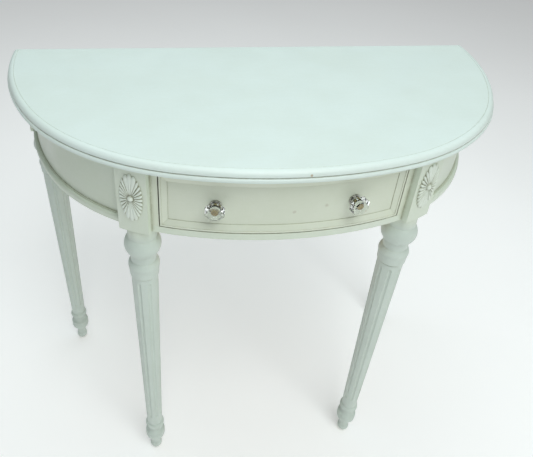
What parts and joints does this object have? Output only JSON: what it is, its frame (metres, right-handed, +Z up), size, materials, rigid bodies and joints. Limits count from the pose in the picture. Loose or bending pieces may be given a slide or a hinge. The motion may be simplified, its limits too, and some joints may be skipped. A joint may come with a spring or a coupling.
{
  "type": "console table",
  "caption": "Painted half-moon console table with a bow-fronted drawer, glass knobs, carved oval rosettes and turned fluted legs.",
  "frame": {"origin": "on the floor, under the middle of the top's bounding box", "axes": "+X to the table's right seen from behind it, which is the viewer's right when facing the drawer, +Y towards the straight rear edge, +Z up; the drawer opens along -Y"},
  "size_m": [0.91, 0.4439, 0.78],
  "materials": {
    "paint": "satin ivory paint, slightly worn",
    "bare_wood": "unfinished planed softwood",
    "clear_glass": "clear pressed glass",
    "silvered_metal": "dull plated",
    "brass": "satin",
    "screw_steel": "plain"
  },
  "bodies": {
    "table": {"top_panel": "paint", "front_left_leg": "paint", "front_right_leg": "paint", "rear_left_leg": "paint", "rear_right_leg": "paint", "left_rosette": "paint", "right_rosette": "paint", "left_apron": "paint", "right_apron": "paint", "left_apron_moulding": "paint", "right_apron_moulding": "paint", "lower_front_rail": "paint", "upper_front_rail": "paint", "left_drawer_post": "paint", "right_drawer_post": "paint", "back_rail": "paint", "left_runner": "bare_wood", "right_runner": "bare_wood", "left_kicker": "bare_wood", "right_kicker": "bare_wood", "drawer_stops": "bare_wood", "corner_blocks": "bare_wood", "top_screws": "screw_steel"},
    "drawer": {"drawer_front": "paint", "drawer_moulding_top": "paint", "drawer_moulding_bottom": "paint", "drawer_moulding_left": "paint", "drawer_moulding_right": "paint", "drawer_left_side": "bare_wood", "drawer_right_side": "bare_wood", "drawer_back": "bare_wood", "drawer_bottom": "bare_wood", "left_knob_glass": "clear_glass", "right_knob_glass": "clear_glass", "left_knob_collar": "silvered_metal", "right_knob_collar": "silvered_metal", "left_knob_bolt": "brass", "right_knob_bolt": "brass"}
  },
  "joints": [
    {"name": "drawer_slide", "type": "slide", "parent": "table", "child": "drawer", "axis": [0, -1, 0], "range_m": [0, 0.24]}
  ]
}
